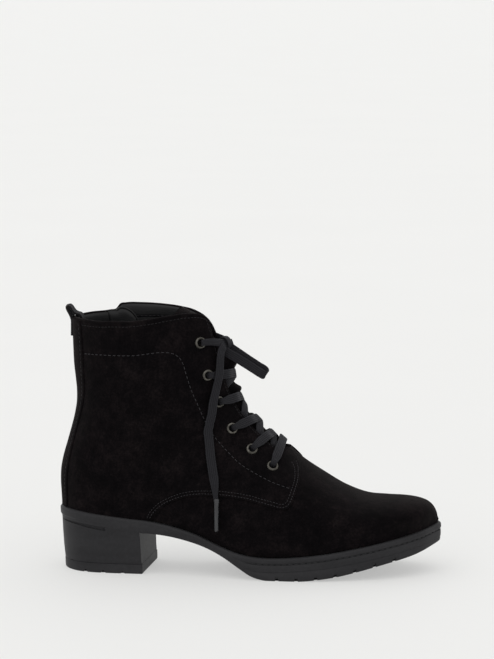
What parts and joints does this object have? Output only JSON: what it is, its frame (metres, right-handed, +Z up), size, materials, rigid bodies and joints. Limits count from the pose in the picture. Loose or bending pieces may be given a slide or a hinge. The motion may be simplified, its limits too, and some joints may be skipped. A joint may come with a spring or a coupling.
{
  "type": "lace-up ankle boot",
  "caption": "Right lace-up ankle boot with a hollow suede upper, side zip, pull loop, lugged sole and block heel, standing empty on its sole.",
  "frame": {"origin": "middle of the heel's tread, on the floor", "axes": "+X from heel to toe, +Y to the wearer's left, the inner side, +Z up from the floor"},
  "size_m": [0.271, 0.0949, 0.1888],
  "materials": {
    "suede": "black suede, napped and matt",
    "rubber": "dark grey moulded rubber, satin",
    "lining": "dark grey smooth lining leather",
    "lace": "flat woven lace, dark blue-grey",
    "lace_tag": "smooth dark lace tag",
    "antique_silver": "antique silver plating, slightly worn",
    "zip_teeth": "black coil teeth and tape"
  },
  "bodies": {
    "boot": {"backstay": "suede", "eyelet_inner_1": "antique_silver", "eyelet_inner_2": "antique_silver", "eyelet_inner_3": "antique_silver", "eyelet_inner_4": "antique_silver", "eyelet_inner_5": "antique_silver", "eyelet_inner_6": "antique_silver", "eyelet_outer_1": "antique_silver", "eyelet_outer_2": "antique_silver", "eyelet_outer_3": "antique_silver", "eyelet_outer_4": "antique_silver", "eyelet_outer_5": "antique_silver", "eyelet_outer_6": "antique_silver", "heel": "rubber", "heel_lift": "rubber", "insole": "lining", "lace_bar": "lace", "lace_bow_inner": "lace", "lace_bow_outer": "lace", "lace_cross_1": "lace", "lace_cross_2": "lace", "lace_cross_3": "lace", "lace_cross_4": "lace", "lace_end_inner": "lace", "lace_end_outer": "lace", "lace_knot": "lace", "lace_tag_inner": "lace_tag", "lace_tag_outer": "lace_tag", "midsole": "rubber", "outsole": "rubber", "pull_loop": "lace", "tongue": "suede", "upper": "suede", "zip_chain": "zip_teeth", "zip_slider": "antique_silver"},
    "zip_pull": {"zip_pull": "antique_silver"}
  },
  "joints": [
    {"name": "zip_pull_hinge", "type": "hinge", "parent": "boot", "child": "zip_pull", "pos_m": [0.00583, 0.03683, 0.17571], "axis": [0.9493, 0.2965, 0.1044], "range_deg": [0, 150]}
  ]
}
